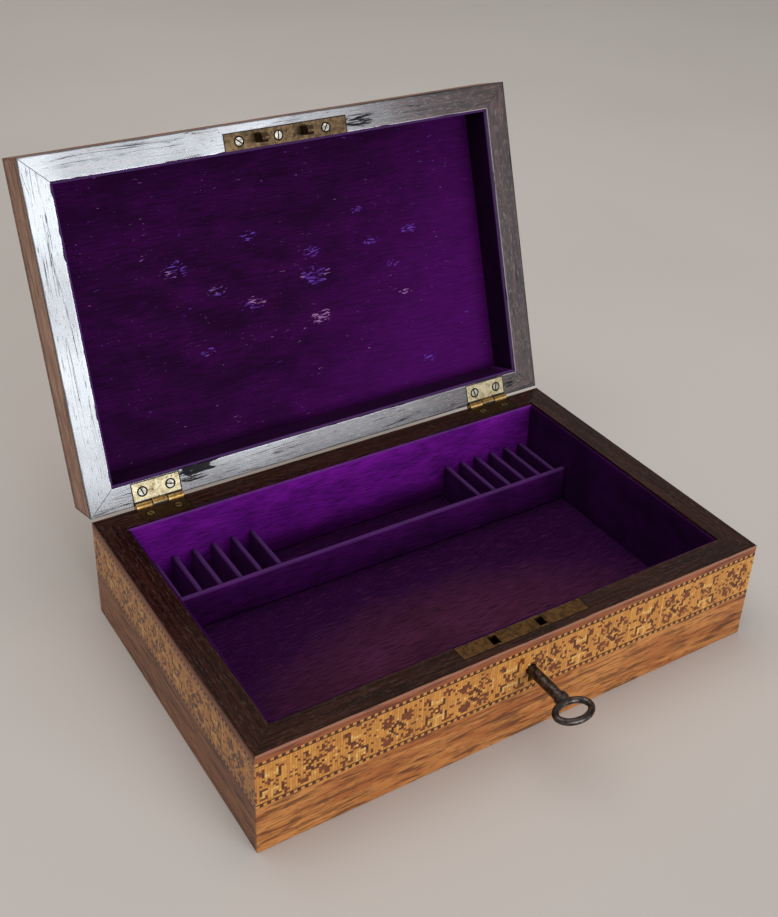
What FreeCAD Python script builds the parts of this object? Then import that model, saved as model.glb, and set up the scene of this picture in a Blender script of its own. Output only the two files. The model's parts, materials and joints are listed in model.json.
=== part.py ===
import FreeCAD, Part
import os
import re
import Sketcher

# Locking jewellery box: veneered carcase with a mosaic band, velvet lining, hinged lid, box lock and key.
# Millimetres. Origin at the middle of the base, +X to the right, +Y to the back, +Z up.
# Lid pieces are drawn with the lid shut and are then swung open about the hinge pins.

SIZES = {
    # carcase
    "box_length": 240,
    "box_depth": 154,
    "box_height": 48,
    "base_thickness": 7.5,
    "veneer_thickness": 1,
    "front_rim": 11.4,
    "back_rim": 10.4,
    "side_rim": 11.5,
    "rim_thickness": 1.2,
    "corner_lap": 5,
    "top_strip": 3.8,
    "band_height": 21.8,
    # velvet lining and tray
    "lining_thickness": 1.5,
    "lining_drop": 0.8,
    "floor_pad": 2,
    "tray_depth": 28.8,
    "divider_thickness": 3,
    "divider_height": 18.5,
    "rib_thickness": 2.5,
    "rib_height": 17.5,
    "left_rib_margin": 8.9,
    "left_rib_pitch": 9.5,
    "right_rib_margin": 5,
    "right_rib_pitch": 9,
    # lid
    "lid_height": 24,
    "lid_board": 5.5,
    "lid_round": 2.5,
    "lid_panel": 1.5,
    "panel_round": 0.9,
    "lid_lining": 1.2,
    "rim_gap": 0.4,
    "lid_open_angle": 108,
    # hinges
    "hinge_length": 22,
    "hinge_inset": 31.2,
    "hinge_setback": 0.7,
    "leaf_thickness": 1.5,
    "leaf_margin": 0.6,
    "knuckle_radius": 2,
    "centre_knuckle": 7.2,
    "knuckle_gap": 0.1,
    "knuckle_relief": 1,
    "stop_gap": 0.05,
    "pin_radius": 0.8,
    "pin_clearance": 0.05,
    "hinge_screw_spread": 13.1,
    # screws
    "screw_head": 2.1,
    "screw_head_depth": 1.3,
    "screw_shank": 0.9,
    "screw_length": 6.5,
    "screw_slot": 0.6,
    "screw_slot_depth": 0.5,
    "screw_clearance": 0.05,
    # lock
    "lock_length": 60.4,
    "lock_case_length": 50,
    "lock_depth": 7,
    "lock_drop": 23.5,
    "lock_inset": 0.4,
    "selvedge_thickness": 1.5,
    "lock_plate": 1.2,
    "lock_cap_thickness": 1,
    "lock_side": 1,
    "lock_screw_inset": 2,
    "lock_screw_edge": 5,
    "fit_clearance": 0.1,
    # link plate and staples
    "link_thickness": 1.5,
    "link_width": 7.4,
    "left_link_screw": -23.3,
    "middle_link_screw": -4.1,
    "right_link_screw": 19.9,
    "left_staple": 11.1,
    "right_staple": 16.45,
    "staple_thickness": 3,
    "staple_width": 4,
    "staple_length": 7.5,
    "staple_eye_width": 2.6,
    "staple_eye_height": 2.8,
    "staple_eye_drop": 3.4,
    "staple_clearance": 0.35,
    # bolt
    "bolt_travel": 4,
    "bolt_thickness": 2,
    "bolt_lift": 3,
    "bolt_height": 4.9,
    "finger_height": 2,
    "finger_gap": 0.4,
    "finger_clearance": 0.8,
    "post_length": 2.5,
    "bolt_tail": 9,
    "talon_half": 4.8,
    "talon_height": 3.2,
    "stump_radius": 0.8,
    "stump_place": -11.8,
    "stump_clearance": 0.3,
    "spring_thickness": 0.4,
    "spring_radius": 8.6,
    "spring_reach": 105,
    # key
    "key_drop": 15.4,
    "key_shank": 2.3,
    "key_reach": 26,
    "key_collar": 3,
    "key_collar_length": 1.8,
    "bow_width": 18.4,
    "bow_length": 12.8,
    "bow_thickness": 2.8,
    "keyhole_slot": 6.4,
    "bit_length": 5.8,
    "bit_thickness": 1.8,
    "ward_depth": 2,
    "ward_width": 0.9,
    "drill_pin": 1,
    "key_bore_depth": 5.5,
    "key_clearance": 0.3,
    "bore_clearance": 0.1,
}

# Places that the pieces share, worked out from the sizes
PLACES = {
    "left": "-box_length/2",
    "right": "box_length/2",
    "front": "-box_depth/2",
    "back": "box_depth/2",
    "left_core": "left + veneer_thickness",
    "right_core": "right - veneer_thickness",
    "front_core": "front + veneer_thickness",
    "back_core": "back - veneer_thickness",
    "left_inside": "left + side_rim",
    "right_inside": "right - side_rim",
    "front_inside": "front + front_rim",
    "back_inside": "back - back_rim",
    "rim": "box_height",
    "rim_bottom": "rim - rim_thickness",
    "band_top": "rim - top_strip",
    "band_bottom": "band_top - band_height",
    "floor": "base_thickness + floor_pad",
    "lining_top": "rim - lining_drop",
    "left_lined": "left_inside + lining_thickness",
    "right_lined": "right_inside - lining_thickness",
    "front_lined": "front_inside + lining_thickness",
    "back_lined": "back_inside - lining_thickness",
    "divider_back": "back_lined - tray_depth",
    "divider_front": "divider_back - divider_thickness",
    "lid_rim": "rim + rim_gap",
    "lid_rim_top": "lid_rim + rim_thickness",
    "lid_top": "lid_rim + lid_height",
    "lid_ceiling": "lid_top - lid_board",
    "panel_face": "lid_ceiling - lid_panel",
    "hinge_y": "back + hinge_setback",
    "hinge_z": "rim + rim_gap/2",
    "leaf_edge": "back_inside + leaf_margin",
    "knuckle_edge": "hinge_y - knuckle_radius - knuckle_gap",
    "leaf_middle": "(leaf_edge + knuckle_edge)/2",
    "leaf_bottom": "rim - leaf_thickness",
    "lid_leaf_top": "lid_rim + leaf_thickness",
    "lock_back": "front_inside - lock_inset",
    "lock_front": "lock_back - lock_depth",
    "cavity_back": "lock_back - lock_plate",
    "cavity_front": "lock_front + lock_cap_thickness",
    "bolt_y": "(cavity_front + cavity_back)/2",
    "lock_bottom": "rim - lock_drop",
    "selvedge_bottom": "rim - selvedge_thickness",
    "link_top": "lid_rim + link_thickness",
    "link_front": "front_inside - link_width",
    "link_middle": "(link_front + front_inside)/2",
    "left_staple_place": "-lock_case_length/2 + left_staple",
    "right_staple_place": "lock_case_length/2 - right_staple",
    "staple_tip": "lid_rim - staple_length",
    "eye_top": "lid_rim - staple_eye_drop",
    "eye_bottom": "eye_top - staple_eye_height",
    "finger_top": "eye_top - finger_gap",
    "finger_bottom": "finger_top - finger_height",
    "key_z": "rim - key_drop",
    "bar_bottom": "key_z + bolt_lift",
    "bar_top": "bar_bottom + bolt_height",
    "bar_middle": "(bar_bottom + bar_top)/2",
    "first_finger_end": "left_staple_place - staple_thickness/2 - finger_clearance",
    "second_finger_end": "right_staple_place - staple_thickness/2 - finger_clearance",
    "first_post": "first_finger_end - bolt_travel - post_length",
    "second_post": "left_staple_place + staple_thickness/2 + finger_clearance",
    "talon_middle": "-bolt_travel/2",
    "bow_middle": "front - key_reach",
    "key_tip": "cavity_back - key_clearance",
}

AXIS_TURNS = {
    "x": FreeCAD.Rotation(FreeCAD.Vector(0, 1, 0), 90),
    "y": FreeCAD.Rotation(FreeCAD.Vector(1, 0, 0), -90),
    "z": FreeCAD.Rotation(),
}
SCREW_TURNS = {
    "down": FreeCAD.Rotation(FreeCAD.Vector(1, 0, 0), 180),
    "up": FreeCAD.Rotation(),
    "front": FreeCAD.Rotation(FreeCAD.Vector(1, 0, 0), 90),
}
RIBS_EACH_END = 6
SPARE = "1"

doc = FreeCAD.newDocument("JewelleryBox")
sheet = doc.addObject("Spreadsheet::Sheet", "Sizes")
for row, (alias, size) in enumerate(SIZES.items(), start=1):
    sheet.set(f"A{row}", alias)
    sheet.set(f"B{row}", str(size))
    sheet.setAlias(f"B{row}", alias)
doc.recompute()

nodes = []


def formula(text):
    """Spell a formula of sizes and places out as a sheet expression."""

    def spell(match):
        word = match.group(0)
        if word in PLACES:
            return "(" + formula(PLACES[word]) + ")"
        return "Sizes." + word if word in SIZES else word

    return re.sub(r"[a-z][a-z_]*", spell, text)


def number(text):
    return float(sheet.evalExpression(formula(text)))


def put(piece, x="0", y="0", z="0"):
    """Bind where a piece stands."""
    for axis, place in zip("xyz", (x, y, z)):
        piece.setExpression(f"Placement.Base.{axis}", formula(place))
    return piece


def block(name, x, y, z):
    """Squared piece that reaches from one place to another along each axis."""
    piece = doc.addObject("Part::Box", name)
    for side, (start, stop) in zip(("Length", "Width", "Height"), (x, y, z)):
        piece.setExpression(side, formula(f"({stop}) - ({start})"))
    return put(piece, x[0], y[0], z[0])


def rod(name, axis, radius, span, x="0", y="0", z="0"):
    """Round bar along an axis, over the span given for that axis."""
    piece = doc.addObject("Part::Cylinder", name)
    piece.Placement = FreeCAD.Placement(FreeCAD.Vector(), AXIS_TURNS[axis])
    piece.setExpression("Radius", formula(radius))
    piece.setExpression("Height", formula(f"({span[1]}) - ({span[0]})"))
    places = {"x": x, "y": y, "z": z}
    places[axis] = span[0]
    return put(piece, **places)


def cut(name, piece, *tools):
    """Take tools out of a piece, one after another."""
    for count, tool in enumerate(tools):
        result = doc.addObject("Part::Cut", f"{name}_cut_{count}")
        result.Base = piece
        result.Tool = tool
        piece = result
    return piece


def fuse(name, *pieces):
    result = doc.addObject("Part::MultiFuse", name + "_joined")
    result.Shapes = list(pieces)
    return result


def group(name, pieces):
    result = doc.addObject("Part::Compound", name + "_set")
    result.Links = list(pieces)
    return result


def keep(name, piece):
    """Name a finished piece."""
    piece.Label = name
    nodes.append(piece)
    return piece


def keep_on_lid(name, piece):
    """Name a finished piece of the lid and swing it open about the hinge pins."""
    swung = doc.addObject("Part::Compound", name + "_swung")
    swung.Links = [piece]
    pivot = f"vector(0; {formula('hinge_y')}; {formula('hinge_z')})"
    turn = "rotation(vector(1; 0; 0); -Sizes.lid_open_angle)"
    swung.setExpression("Placement", f"placement(vector(0; 0; 0); {turn}; {pivot})")
    return keep(name, swung)


def sketch_on(body, role, name):
    """Empty sketch on one of a body's own origin planes."""
    sketch = body.newObject("Sketcher::SketchObject", name)
    plane = next(item for item in body.Origin.OriginFeatures if item.Role == role)
    sketch.AttachmentSupport = [(plane, "")]
    sketch.MapMode = "FlatFace"
    return sketch


def draw_outline(sketch, corners):
    """Closed straight-sided outline whose corners are bound to formulas."""
    points = [FreeCAD.Vector(number(u), number(v), 0) for u, v in corners]
    count = len(points)
    for index in range(count):
        sketch.addGeometry(Part.LineSegment(points[index], points[(index + 1) % count]))
    for index in range(count):
        sketch.addConstraint(Sketcher.Constraint("Coincident", index, 2, (index + 1) % count, 1))
    for index, corner in enumerate(corners):
        for kind, place in zip(("DistanceX", "DistanceY"), corner):
            held = sketch.addConstraint(Sketcher.Constraint(kind, -1, 1, index, 1, number(place)))
            sketch.setExpression(f"Constraints[{held}]", formula(place))


def draw_circle(sketch, radius, u="0", v="0"):
    """Circle whose radius and middle are bound to formulas."""
    middle = FreeCAD.Vector(number(u), number(v), 0)
    sketch.addGeometry(Part.Circle(middle, FreeCAD.Vector(0, 0, 1), number(radius)))
    bindings = (
        (Sketcher.Constraint("Radius", 0, number(radius)), radius),
        (Sketcher.Constraint("DistanceX", -1, 1, 0, 3, number(u)), u),
        (Sketcher.Constraint("DistanceY", -1, 1, 0, 3, number(v)), v),
    )
    for constraint, place in bindings:
        held = sketch.addConstraint(constraint)
        sketch.setExpression(f"Constraints[{held}]", formula(place))


def slab(name, corners, z, role="XY_Plane"):
    """Flat piece of any straight-sided outline, raised from a lower to an upper level."""
    body = doc.addObject("PartDesign::Body", name + "_body")
    sketch = sketch_on(body, role, name + "_outline")
    draw_outline(sketch, corners)
    pad = body.newObject("PartDesign::Pad", name + "_pad")
    pad.Profile = sketch
    pad.setExpression("Length", formula(f"({z[1]}) - ({z[0]})"))
    return put(body, z=z[0])


def round_face(body, name, face, radius):
    """Round the edges of a slab's upper or lower face."""
    doc.recompute()
    square = body.Tip
    reach = square.Shape.BoundBox
    height = reach.ZMax if face == "upper" else reach.ZMin
    edges = []
    for index, edge in enumerate(square.Shape.Edges, start=1):
        if max(abs(vertex.Z - height) for vertex in edge.Vertexes) < 1e-6:
            edges.append(f"Edge{index}")
    fillet = body.newObject("PartDesign::Fillet", name + "_round")
    fillet.Base = (square, edges)
    fillet.setExpression("Radius", formula(radius))
    return body


def rectangle(x, y):
    return [(x[0], y[0]), (x[1], y[0]), (x[1], y[1]), (x[0], y[1])]


# Screws

def screw_blank(name, spread):
    """Countersunk head and shank along +Z, thicker by the spread."""
    head = doc.addObject("Part::Cone", name + "_head")
    head.setExpression("Radius1", formula(f"screw_head + {spread}"))
    head.setExpression("Radius2", formula(f"screw_shank + {spread}"))
    head.setExpression("Height", formula("screw_head_depth"))
    shank = rod(name + "_shank", "z", f"screw_shank + {spread}", ("0", f"screw_length + {spread}"))
    return fuse(name, head, shank)


def lay_screw(piece, way, x, y, z, turn=0):
    piece.Placement = FreeCAD.Placement(
        FreeCAD.Vector(), SCREW_TURNS[way] * FreeCAD.Rotation(FreeCAD.Vector(0, 0, 1), turn))
    return put(piece, x, y, z)


def screw(name, way, x, y, z, turn):
    """Slotted countersunk screw driven the given way, its head at the place."""
    slot = block(
        name + "_slot", ("-2*screw_head", "2*screw_head"), ("-screw_slot/2", "screw_slot/2"),
        ("-" + SPARE, "screw_slot_depth"))
    return lay_screw(cut(name, screw_blank(name, "0"), slot), way, x, y, z, turn)


def screw_hole(name, way, x, y, z):
    return lay_screw(screw_blank(name, "screw_clearance"), way, x, y, z)


# Carcase shared by the box and the lid

OUTER_CORNERS = [("left", "front"), ("right", "front"), ("right", "back"), ("left", "back")]
INNER_CORNERS = [
    ("left_inside", "front_inside"), ("right_inside", "front_inside"),
    ("right_inside", "back_inside"), ("left_inside", "back_inside")]
SIDES = ("front", "right", "back", "left")


def walls(prefix, z):
    """Four walls, the front and back one rebated at their ends to take the side walls."""
    front_lap = ("front_inside - corner_lap", f"front_inside + {SPARE}")
    back_lap = (f"back_inside - {SPARE}", "back_inside + corner_lap")
    high = (f"{z[0]} - {SPARE}", f"{z[1]} + {SPARE}")
    ends = {
        "left": (f"left_core - {SPARE}", "left_inside"),
        "right": ("right_inside", f"right_core + {SPARE}"),
    }
    result = {}
    for side, depth, lap in (
            ("front", ("front_core", "front_inside"), front_lap),
            ("back", ("back_inside", "back_core"), back_lap)):
        name = prefix + side
        blank = block(name + "_blank", ("left_core", "right_core"), depth, z)
        rebates = [block(f"{name}_{end}_rebate", span, lap, high) for end, span in ends.items()]
        result[side] = cut(name, blank, *rebates)
    for side, width in (("left", ("left_core", "left_inside")), ("right", ("right_inside", "right_core"))):
        result[side] = block(prefix + side + "_blank", width, (front_lap[0], back_lap[1]), z)
    return result


def facing(name, side, z):
    """Thin sheet over one outer side between two heights."""
    spans = {
        "front": (("left", "right"), ("front", "front_core")),
        "back": (("left", "right"), ("back_core", "back")),
        "left": (("left", "left_core"), ("front_core", "back_core")),
        "right": (("right_core", "right"), ("front_core", "back_core")),
    }
    return block(name, *spans[side], z)


def rims(prefix, z):
    """Four rim strips that meet in mitres."""
    result = {}
    for index, side in enumerate(SIDES):
        after = (index + 1) % len(SIDES)
        outline = [OUTER_CORNERS[index], OUTER_CORNERS[after], INNER_CORNERS[after], INNER_CORNERS[index]]
        result[side] = slab(prefix + side, outline, z)
    return result


# Hinges, one near each end of the back

HINGES = {"left": "left + hinge_inset", "right": "right - hinge_inset"}
HINGE_TURNS = {"left": (70, 15), "right": (75, 100)}


def hinge_span(middle, spread="0"):
    return f"{middle} - hinge_length/2 - {spread}", f"{middle} + hinge_length/2 + {spread}"


def hinge_recess(name, middle, leaf):
    """Room for a leaf and for the knuckles, as tools that cut wood."""
    span = hinge_span(middle, "fit_clearance")
    bed = block(name + "_bed", span, ("leaf_edge - fit_clearance", f"back + {SPARE}"), leaf)
    relief = rod(
        name + "_relief", "x", "knuckle_radius + knuckle_relief", span, y="hinge_y", z="hinge_z")
    return [bed, relief]


def knuckle(name, span, leaf):
    """One knuckle with the web that ties it to its leaf."""
    web = block(name + "_web", span, ("knuckle_edge", "hinge_y"), leaf)
    barrel = rod(name + "_barrel", "x", "knuckle_radius", span, y="hinge_y", z="hinge_z")
    return [web, barrel]


def hinge_leaf(name, middle, leaf, spans, holes, extra=()):
    plate = block(name + "_plate", hinge_span(middle), ("leaf_edge", "knuckle_edge"), leaf)
    pieces = [plate, *extra]
    for index, span in enumerate(spans):
        pieces += knuckle(f"{name}_knuckle_{index}", span, leaf)
    bore = rod(
        name + "_bore", "x", "pin_radius + pin_clearance", hinge_span(middle, SPARE),
        y="hinge_y", z="hinge_z")
    return cut(name, fuse(name, *pieces), bore, *holes)


def hinge_stop(name, span):
    """Shoulder behind the middle knuckle that the lid leaf comes to rest on."""
    stop = doc.addObject("Part::Box", name)
    stop.setExpression("Length", formula(f"({span[1]}) - ({span[0]})"))
    stop.setExpression("Width", formula("rim_gap/2 + leaf_thickness"))
    stop.setExpression("Height", formula("knuckle_radius + knuckle_gap - stop_gap"))
    corner = f"vector({formula(span[0])}; {formula('hinge_y')}; {formula('hinge_z')})"
    stop.setExpression(
        "Placement", f"placement({corner}; rotation(vector(1; 0; 0); 90 - Sizes.lid_open_angle))")
    return stop


back_tools = []
lid_back_tools = []
body_hinge_screws = []
lid_hinge_screws = []
for end, middle in HINGES.items():
    body_leaf = ("leaf_bottom", "rim")
    lid_leaf = ("lid_rim", "lid_leaf_top")
    body_holes = []
    lid_holes = []
    for index, step in enumerate(("-", "+")):
        place = f"{middle} {step} hinge_screw_spread/2"
        name = f"{end}_hinge_screw_{index}"
        turn = HINGE_TURNS[end][index]
        body_holes.append(screw_hole(name + "_body_hole", "down", place, "leaf_middle", "rim"))
        lid_holes.append(screw_hole(name + "_lid_hole", "up", place, "leaf_middle", "lid_rim"))
        body_hinge_screws.append(screw(name + "_body", "down", place, "leaf_middle", "rim", turn))
        lid_hinge_screws.append(screw(name + "_lid", "up", place, "leaf_middle", "lid_rim", turn))
    back_tools += hinge_recess(f"{end}_body_recess", middle, ("leaf_bottom", f"rim + {SPARE}")) + body_holes
    lid_bed = (f"lid_rim - {SPARE}", "lid_leaf_top")
    lid_back_tools += hinge_recess(f"{end}_lid_recess", middle, lid_bed) + lid_holes
    inner = (f"{middle} - centre_knuckle/2", f"{middle} + centre_knuckle/2")
    outer = hinge_span(middle)
    stop = hinge_stop(f"{end}_hinge_stop", inner)
    keep(f"{end}_hinge_body_leaf", hinge_leaf(
        f"{end}_body_leaf", middle, body_leaf, [inner], body_holes, [stop]))
    keep_on_lid(f"{end}_hinge_lid_leaf", hinge_leaf(
        f"{end}_lid_leaf", middle, lid_leaf,
        [(outer[0], f"{inner[0]} - knuckle_gap"), (f"{inner[1]} + knuckle_gap", outer[1])], lid_holes))
    keep(f"{end}_hinge_pin", rod(
        f"{end}_pin", "x", "pin_radius", outer, y="hinge_y", z="hinge_z"))
keep("body_hinge_screws", group("body_hinge_screws", body_hinge_screws))
keep_on_lid("lid_hinge_screws", group("lid_hinge_screws", lid_hinge_screws))


# Lock let into the front wall from the inside

def keyhole(name):
    """Round hole with a slot below it, from outside the front into the lock."""
    depth = (f"front - {SPARE}", "cavity_front + fit_clearance")
    half = "bit_thickness/2 + key_clearance"
    eye = rod(name + "_eye", "y", "key_shank + key_clearance", depth, z="key_z")
    slot = block(name + "_slot", (f"-({half})", half), depth, ("key_z - keyhole_slot", "key_z"))
    return fuse(name, eye, slot)


def centred(half, spread="0"):
    return f"-({half}) - {spread}", f"{half} + {spread}"


key_way = keyhole("keyhole")
LOCK_SCREW_X = "lock_case_length/2 + lock_screw_inset"
LOCK_SCREW_Z = ("lock_bottom + lock_screw_edge", "selvedge_bottom - lock_screw_edge")
LOCK_SCREW_TURNS = (20, 65, 110, 155)
lock_screw_places = [(sign + "(" + LOCK_SCREW_X + ")", height) for sign in "-+" for height in LOCK_SCREW_Z]
lock_holes = []
lock_screws = []
for index, (place, height) in enumerate(lock_screw_places):
    lock_holes.append(screw_hole(f"lock_hole_{index}", "front", place, "lock_back", height))
    lock_screws.append(screw(
        f"lock_screw_{index}", "front", place, "lock_back", height, LOCK_SCREW_TURNS[index]))
keep("lock_screws", group("lock_screws", lock_screws))

STAPLES = ("left_staple_place", "right_staple_place")


def staple_block(name, place, spread, z):
    return block(
        name, (f"{place} - staple_thickness/2 - {spread}", f"{place} + staple_thickness/2 + {spread}"),
        (f"bolt_y - staple_width/2 - {spread}", f"bolt_y + staple_width/2 + {spread}"), z)


def lock_case():
    """Selvedge, back plate and the low sides of the case in one piece."""
    inside = ("cavity_front", "cavity_back")
    case = centred("lock_case_length/2")
    selvedge = block(
        "selvedge", centred("lock_length/2"), ("lock_front", "lock_back"), ("selvedge_bottom", "rim"))
    high = ("lock_bottom", "selvedge_bottom")
    plate = block("lock_back_plate", centred("lock_length/2"), ("cavity_back", "lock_back"), high)
    left_side = block("lock_left_side", (case[0], f"{case[0]} + lock_side"), inside, high)
    right_side = block("lock_right_side", (f"{case[1]} - lock_side", case[1]), inside, high)
    bottom_side = block("lock_bottom_side", case, inside, ("lock_bottom", "lock_bottom + lock_side"))
    through_selvedge = (f"selvedge_bottom - {SPARE}", f"rim + {SPARE}")
    slots = [
        staple_block(place + "_slot", place, "staple_clearance", through_selvedge) for place in STAPLES]
    through = (f"cavity_back - {SPARE}", f"lock_back + {SPARE}")
    pin_hole = rod("drill_pin_hole", "y", "drill_pin + pin_clearance", through, z="key_z")
    stump_hole = rod(
        "stump_hole", "y", "stump_radius + pin_clearance", through, x="stump_place", z="bar_middle")
    return cut(
        "lock_case", fuse("lock_case", selvedge, plate, left_side, right_side, bottom_side),
        *slots, pin_hole, stump_hole, *lock_holes)


def lock_pins():
    """Drill pin that the key slides over, and the stump that guides the bolt."""
    pin = rod("drill_pin_rod", "y", "drill_pin", ("cavity_front + key_clearance", "lock_back"), z="key_z")
    stump = rod(
        "guide_stump", "y", "stump_radius", ("bolt_y - bolt_thickness/2 - key_clearance", "lock_back"),
        x="stump_place", z="bar_middle")
    return group("lock_pins", [pin, stump])


def lock_bolt():
    """Flat bolt with a talon notch for the key and two fingers that enter the staples."""
    talon_left = "talon_middle - talon_half"
    talon_right = "talon_middle + talon_half"
    talon_top = "bar_bottom + talon_height"
    post_right = "second_finger_end - bolt_travel"
    corners = [
        ("first_post", "bar_bottom"), (talon_left, "bar_bottom"), (talon_left, talon_top),
        (talon_right, talon_top), (talon_right, "bar_bottom"), ("bolt_tail", "bar_bottom"),
        ("bolt_tail", "bar_top"), (post_right, "bar_top"), (post_right, "finger_bottom"),
        ("second_finger_end", "finger_bottom"), ("second_finger_end", "finger_top"),
        ("second_post", "finger_top"), ("second_post", "bar_top"),
        ("first_post + post_length", "bar_top"), ("first_post + post_length", "finger_bottom"),
        ("first_finger_end", "finger_bottom"), ("first_finger_end", "finger_top"),
        ("first_post", "finger_top")]
    body = doc.addObject("PartDesign::Body", "bolt_body")
    sketch = sketch_on(body, "XZ_Plane", "bolt_outline")
    draw_outline(sketch, corners)
    pad = body.newObject("PartDesign::Pad", "bolt_pad")
    pad.Profile = sketch
    pad.setExpression("Length", formula("bolt_thickness"))
    put(body, y="bolt_y + bolt_thickness/2")
    reach = "(stump_radius + stump_clearance)"
    guide = block(
        "guide_slot", (f"stump_place - bolt_travel - {reach}", f"stump_place + {reach}"),
        (f"bolt_y - bolt_thickness/2 - {SPARE}", f"bolt_y + bolt_thickness/2 + {SPARE}"),
        (f"bar_middle - {reach}", f"bar_middle + {reach}"))
    return cut("lock_bolt", body, guide)


def bolt_spring():
    """Bowed leaf that stands in the corner of the case and bears on the bolt from below."""
    across = ("bolt_y - bolt_thickness/2", "bolt_y + bolt_thickness/2")
    wall = "-lock_case_length/2 + lock_side"
    crown = "bar_bottom - fit_clearance"
    middle_x = f"{wall} + spring_radius"
    middle_z = f"{crown} - spring_radius"
    bow = rod("spring_bow", "y", "spring_radius", across, x=middle_x, z=middle_z)
    bow.Placement = FreeCAD.Placement(
        FreeCAD.Vector(), AXIS_TURNS["y"] * FreeCAD.Rotation(FreeCAD.Vector(0, 0, 1), 180))
    bow.setExpression("Angle", formula("spring_reach"))
    inner = rod(
        "spring_inner", "y", "spring_radius - spring_thickness",
        (f"{across[0]} - {SPARE}", f"{across[1]} + {SPARE}"), x=middle_x, z=middle_z)
    foot = block(
        "spring_foot", (wall, f"{wall} + spring_thickness"), across, ("lock_bottom + lock_side", middle_z))
    return fuse("bolt_spring", cut("spring_bow", bow, inner), foot)


keep("lock_case", lock_case())
keep("lock_cap", cut("lock_cap", block(
    "lock_cap_blank", centred("lock_case_length/2"), ("lock_front", "cavity_front"),
    ("lock_bottom", "selvedge_bottom")), key_way))
keep("lock_pins", lock_pins())
keep("lock_bolt", lock_bolt())
keep("bolt_spring", bolt_spring())


# Key, turned so that its bow lies level

def key():
    body = doc.addObject("PartDesign::Body", "key_body")
    put(body, z="key_z")
    neck = "bow_middle + bow_length/2"
    stem = sketch_on(body, "XY_Plane", "key_stem_outline")
    draw_outline(stem, [
        ("0", "key_tip"), ("key_shank", "key_tip"), ("key_shank", f"{neck} + key_collar_length"),
        ("key_collar", f"{neck} + key_collar_length"), ("key_collar", neck),
        ("key_shank", f"{neck} - bow_thickness/2"), ("0", f"{neck} - bow_thickness/2")])
    turned = body.newObject("PartDesign::Revolution", "key_stem")
    turned.Profile = stem
    turned.ReferenceAxis = (stem, ["V_Axis"])
    doc.recompute()

    path = sketch_on(body, "XY_Plane", "bow_path")
    middle = FreeCAD.Vector(0, number("bow_middle"), 0)
    wide = number("bow_width/2 - bow_thickness/2")
    long = number("bow_length/2 - bow_thickness/2")
    wide_end = middle + FreeCAD.Vector(wide, 0, 0)
    long_end = middle + FreeCAD.Vector(0, long, 0)
    path.addGeometry(Part.Ellipse(wide_end, long_end, middle))
    path.exposeInternalGeometry(0)
    bindings = (
        (Sketcher.Constraint("DistanceX", -1, 1, 0, 3, 0), "0"),
        (Sketcher.Constraint("DistanceY", -1, 1, 0, 3, middle.y), "bow_middle"),
        (Sketcher.Constraint("Horizontal", 1), None),
        (Sketcher.Constraint("Distance", 1, 2 * wide), "bow_width - bow_thickness"),
        (Sketcher.Constraint("Distance", 2, 2 * long), "bow_length - bow_thickness"),
    )
    for constraint, place in bindings:
        held = path.addConstraint(constraint)
        if place:
            path.setExpression(f"Constraints[{held}]", formula(place))
    section = sketch_on(body, "XZ_Plane", "bow_section")
    section.setExpression("AttachmentOffset.Base.z", formula("-(bow_middle)"))
    draw_circle(section, "bow_thickness/2", u="bow_width/2 - bow_thickness/2")
    bow = body.newObject("PartDesign::AdditivePipe", "key_bow")
    bow.Profile = section
    bow.Spine = path
    doc.recompute()

    bit_back = "cavity_back - 2*key_clearance"
    bit_front = "cavity_front + key_clearance"
    ward = f"({bit_back} + {bit_front})/2"
    bit = sketch_on(body, "XY_Plane", "bit_outline")
    draw_outline(bit, [
        ("0", bit_front), ("-bit_length", bit_front), ("-bit_length", f"{ward} - ward_width/2"),
        ("-bit_length + ward_depth", f"{ward} - ward_width/2"),
        ("-bit_length + ward_depth", f"{ward} + ward_width/2"),
        ("-bit_length", f"{ward} + ward_width/2"), ("-bit_length", bit_back), ("0", bit_back)])
    bit.setExpression("AttachmentOffset.Base.z", formula("-bit_thickness/2"))
    flag = body.newObject("PartDesign::Pad", "key_bit")
    flag.Profile = bit
    flag.setExpression("Length", formula("bit_thickness"))
    doc.recompute()
    bore = rod(
        "key_bore", "y", "drill_pin + bore_clearance", ("key_tip - key_bore_depth", f"key_tip + {SPARE}"),
        z="key_z")
    return cut("key", body, bore)


keep("key", key())


# Box carcase, veneers, mosaic bands and rims

keep("base_board", block(
    "base_blank", ("left_core", "right_core"), ("front_core", "back_core"), ("0", "base_thickness")))

lock_room = ("lock_front - fit_clearance", f"front_inside + {SPARE}")
lock_rise = ("lock_bottom - fit_clearance", f"rim + {SPARE}")
selvedge_bed = block(
    "selvedge_bed", centred("lock_length/2", "fit_clearance"), lock_room,
    ("selvedge_bottom", f"rim + {SPARE}"))
plate_bed = block(
    "lock_plate_bed", centred("lock_length/2", "fit_clearance"), ("cavity_back", f"front_inside + {SPARE}"),
    lock_rise)
case_bed = block("lock_case_bed", centred("lock_case_length/2", "fit_clearance"), lock_room, lock_rise)

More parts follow.
